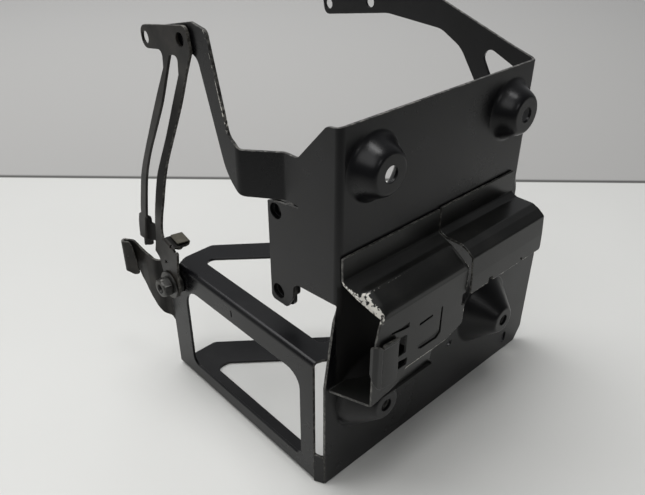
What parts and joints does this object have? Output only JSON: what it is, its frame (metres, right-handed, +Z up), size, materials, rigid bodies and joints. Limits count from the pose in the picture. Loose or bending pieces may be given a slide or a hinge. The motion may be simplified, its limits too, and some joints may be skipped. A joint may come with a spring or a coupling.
{
  "type": "battery carrier bracket",
  "caption": "Black pressed-steel battery carrier bracket for a motorcycle, with a relay cover, open shelves, curved arms and a pivoting stay.",
  "frame": {"origin": "middle of the bounding box in plan, on the ground under the bottom shelf", "axes": "+X along the front panel from left to right, +Y back from the panel's face, +Z up"},
  "size_m": [0.1892, 0.1752, 0.2131],
  "materials": {
    "black_paint": "satin black paint, slightly worn on the edges",
    "cover_paint": "satin black paint, dusty, worn to bare metal at one edge",
    "brace_paint": "satin black paint",
    "dark_hardware": "blackened steel",
    "zinc": "dull yellowish zinc plate"
  },
  "bodies": {
    "carrier": {"main_panel": "black_paint", "upper_boss_left": "black_paint", "upper_boss_right": "black_paint", "lower_boss_left": "black_paint", "lower_boss_right": "black_paint", "left_cheek": "black_paint", "nut_plate": "black_paint", "left_arm": "black_paint", "right_arm": "black_paint", "side_frame": "black_paint", "corner_strip": "black_paint", "top_shelf": "black_paint", "bottom_shelf": "black_paint", "hook_ear": "black_paint", "cover_right": "cover_paint", "cover_left": "cover_paint", "clip_plate": "cover_paint", "boss_nut_left": "dark_hardware", "boss_nut_right": "dark_hardware", "cheek_nut_upper": "dark_hardware", "cheek_nut_lower": "dark_hardware", "pivot_bolt": "dark_hardware", "plain_washer": "dark_hardware", "spacer_bush": "dark_hardware", "inner_washer": "dark_hardware", "pivot_nut": "dark_hardware"},
    "stay": {"brace": "brace_paint", "u_clip_nut": "zinc"}
  },
  "joints": [
    {"name": "stay_swing", "type": "hinge", "parent": "carrier", "child": "stay", "pos_m": [-0.08267, 0.05328, 0.0655], "axis": [1, 0, 0], "range_deg": [-6, 40]}
  ]
}
